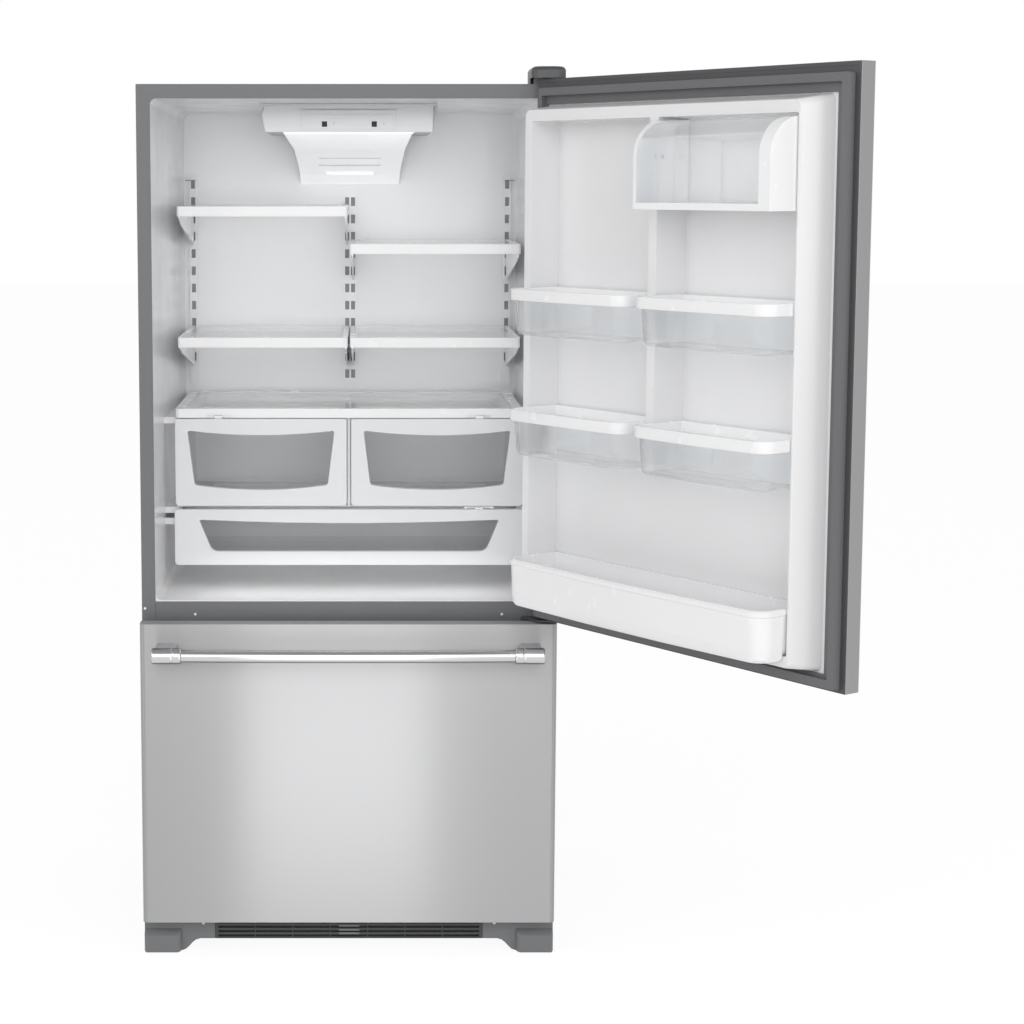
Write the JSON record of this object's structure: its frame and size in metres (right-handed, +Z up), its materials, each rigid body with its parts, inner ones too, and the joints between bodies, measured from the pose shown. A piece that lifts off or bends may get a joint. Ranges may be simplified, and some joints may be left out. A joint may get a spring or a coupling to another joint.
{
  "type": "bottom freezer refrigerator",
  "caption": "Upright refrigerator with a hinged door over a pull-out freezer drawer, glass shelves, sliding crispers, clear door bins, bar handles and a slotted base grille.",
  "frame": {"origin": "on the floor, at the centre of the cabinet's footprint", "axes": "+X to the right seen from in front, +Y to the back, +Z up"},
  "size_m": [1.3113, 1.4207, 1.775],
  "materials": {
    "cabinet_grey": "satin enamel on steel sheet",
    "stainless": "brushed",
    "liner_white": "vacuum formed",
    "rim_white": "moulded",
    "housing_grey": "moulded, fine texture",
    "lens": "translucent diffuser",
    "shelf_glass": "tempered, clear",
    "clear_plastic": "clear moulded",
    "gasket_grey": "soft extrusion",
    "hinge_grey": "painted",
    "zinc_steel": "zinc coated",
    "base_grey": "moulded",
    "grille_black": "moulded",
    "black_rubber": "moulded",
    "machine_black": "painted",
    "fin_aluminium": "bare",
    "fan_plastic": "moulded",
    "basket_white": "moulded"
  },
  "bodies": {
    "cabinet": {"cabinet_shell": "cabinet_grey", "back_panel": "cabinet_grey", "fridge_liner": "liner_white", "freezer_liner": "liner_white", "centre_rail": "cabinet_grey", "control_housing": "housing_grey", "light_cover": "lens", "crisper_cover": "rim_white", "crisper_glass": "shelf_glass", "pan_frame": "rim_white", "top_hinge": "zinc_steel", "hinge_cover": "hinge_grey", "centre_hinge": "hinge_grey", "base_frame": "zinc_steel", "base_grille": "grille_black", "foot_cover_left": "base_grey", "foot_cover_right": "base_grey", "evaporator": "fin_aluminium", "evaporator_cover": "liner_white", "compressor": "machine_black", "condenser": "fin_aluminium", "rear_cover": "machine_black", "shelf_frame_upper_left": "rim_white", "shelf_glass_upper_left": "shelf_glass", "shelf_frame_upper_right": "rim_white", "shelf_glass_upper_right": "shelf_glass", "shelf_frame_lower_left": "rim_white", "shelf_glass_lower_left": "shelf_glass", "shelf_frame_lower_right": "rim_white", "shelf_glass_lower_right": "shelf_glass"},
    "door": {"door_skin": "stainless", "door_liner": "liner_white", "door_gasket": "gasket_grey", "door_bin_upper_left": "clear_plastic", "door_bin_upper_right": "clear_plastic", "door_bin_lower_left": "clear_plastic", "door_bin_lower_right": "clear_plastic", "door_bin_bottom": "rim_white", "dairy_box": "rim_white", "door_handle": "stainless"},
    "dairy_lid": {"dairy_lid": "clear_plastic"},
    "drawer": {"drawer_skin": "stainless", "drawer_liner": "liner_white", "drawer_gasket": "gasket_grey", "drawer_frame": "zinc_steel", "freezer_basket": "basket_white", "drawer_handle": "stainless"},
    "upper_tray": {"upper_tray": "basket_white"},
    "crisper_left": {"crisper_left": "rim_white"},
    "crisper_right": {"crisper_right": "rim_white"},
    "deli_pan": {"deli_pan": "rim_white"},
    "slider_tab_left": {"slider_tab_left": "rim_white"},
    "slider_tab_right": {"slider_tab_right": "rim_white"},
    "slider_tab_deli": {"slider_tab_deli": "rim_white"},
    "evaporator_fan": {"evaporator_fan": "fan_plastic"},
    "condenser_fan": {"condenser_fan": "fan_plastic"},
    "levelling_foot_left": {"levelling_foot_left": "black_rubber"},
    "levelling_foot_right": {"levelling_foot_right": "black_rubber"},
    "rear_roller_left": {"rear_roller_left": "black_rubber"},
    "rear_roller_right": {"rear_roller_right": "black_rubber"}
  },
  "joints": [
    {"name": "door_hinge", "type": "hinge", "parent": "cabinet", "child": "door", "pos_m": [0.393, -0.389, 0.69], "axis": [0, 0, 1], "range_deg": [-125, 5]},
    {"name": "dairy_lid_hinge", "type": "hinge", "parent": "door", "child": "dairy_lid", "pos_m": [0.65662, -0.88927, 1.598], "axis": [-0.5736, 0.8192, 0], "range_deg": [0, 70]},
    {"name": "drawer_slide", "type": "slide", "parent": "cabinet", "child": "drawer", "axis": [0, -1, 0], "range_m": [0, 0.4]},
    {"name": "upper_tray_slide", "type": "slide", "parent": "drawer", "child": "upper_tray", "axis": [0, 1, 0], "range_m": [0, 0.11]},
    {"name": "crisper_left_slide", "type": "slide", "parent": "cabinet", "child": "crisper_left", "axis": [0, -1, 0], "range_m": [0, 0.2]},
    {"name": "crisper_right_slide", "type": "slide", "parent": "cabinet", "child": "crisper_right", "axis": [0, -1, 0], "range_m": [0, 0.2]},
    {"name": "deli_pan_slide", "type": "slide", "parent": "cabinet", "child": "deli_pan", "axis": [0, -1, 0], "range_m": [0, 0.2]},
    {"name": "humidity_left", "type": "slide", "parent": "cabinet", "child": "slider_tab_left", "axis": [1, 0, 0], "range_m": [-0.015, 0.015]},
    {"name": "humidity_right", "type": "slide", "parent": "cabinet", "child": "slider_tab_right", "axis": [1, 0, 0], "range_m": [-0.015, 0.015]},
    {"name": "deli_vent", "type": "slide", "parent": "cabinet", "child": "slider_tab_deli", "axis": [1, 0, 0], "range_m": [-0.015, 0.015]},
    {"name": "evaporator_fan_spin", "type": "hinge", "parent": "cabinet", "child": "evaporator_fan", "pos_m": [0, 0.11, 0.579], "axis": [0, 1, 0], "continuous": true},
    {"name": "condenser_fan_spin", "type": "hinge", "parent": "cabinet", "child": "condenser_fan", "pos_m": [0.21, 0.221, 0.12865], "axis": [0, 1, 0], "continuous": true},
    {"name": "left_foot_screw", "type": "hinge", "parent": "cabinet", "child": "levelling_foot_left", "pos_m": [-0.375, -0.318, 0], "axis": [0, 0, 1], "continuous": true},
    {"name": "right_foot_screw", "type": "hinge", "parent": "cabinet", "child": "levelling_foot_right", "pos_m": [0.375, -0.318, 0], "axis": [0, 0, 1], "continuous": true},
    {"name": "left_roller_spin", "type": "hinge", "parent": "cabinet", "child": "rear_roller_left", "pos_m": [-0.372, 0.3, 0.025], "axis": [1, 0, 0], "continuous": true},
    {"name": "right_roller_spin", "type": "hinge", "parent": "cabinet", "child": "rear_roller_right", "pos_m": [0.372, 0.3, 0.025], "axis": [1, 0, 0], "continuous": true}
  ]
}
